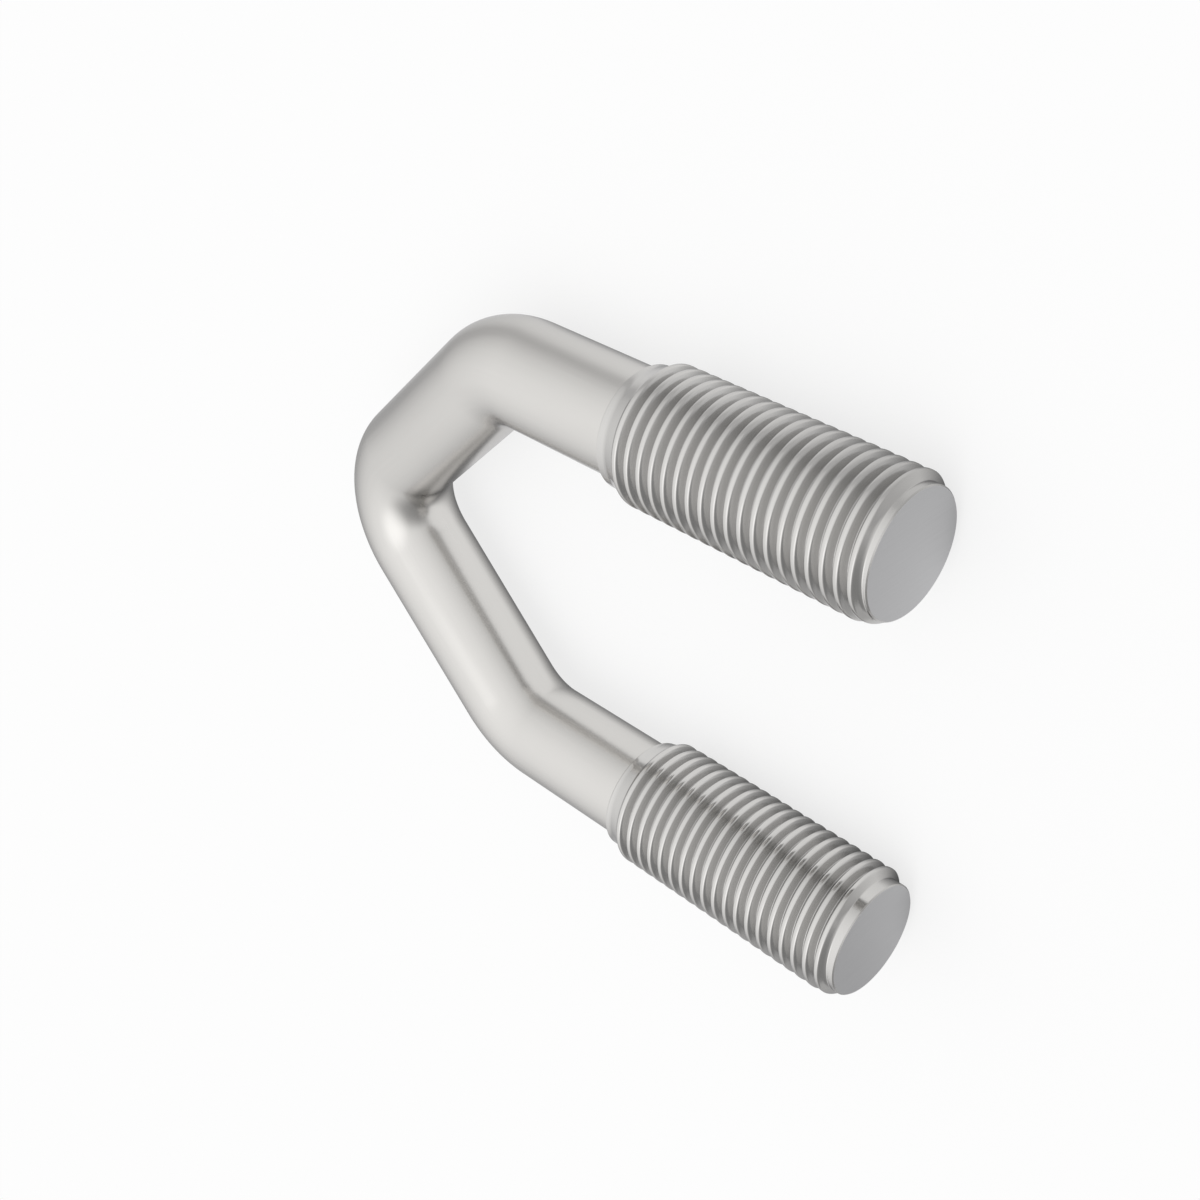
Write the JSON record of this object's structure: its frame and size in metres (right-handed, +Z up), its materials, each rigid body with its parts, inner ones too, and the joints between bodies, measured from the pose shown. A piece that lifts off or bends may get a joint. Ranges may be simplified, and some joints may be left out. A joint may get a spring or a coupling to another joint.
{
  "type": "v-bolt",
  "caption": "Polished steel rod bent to a right-angled vee with parallel threaded legs, for clamping a round pipe or bar to a plate.",
  "frame": {"origin": "on the surface the bolt lies on, below the middle of its bounding box", "axes": "+Z up from that surface, square to the plane the rod is bent in; +Y along both legs towards their threaded ends, so the vee points to -Y; X across the legs"},
  "size_m": [0.0504, 0.0627, 0.0119],
  "materials": {
    "steel": "polished"
  },
  "bodies": {
    "root": {"v_bolt": "steel"}
  },
  "joints": []
}
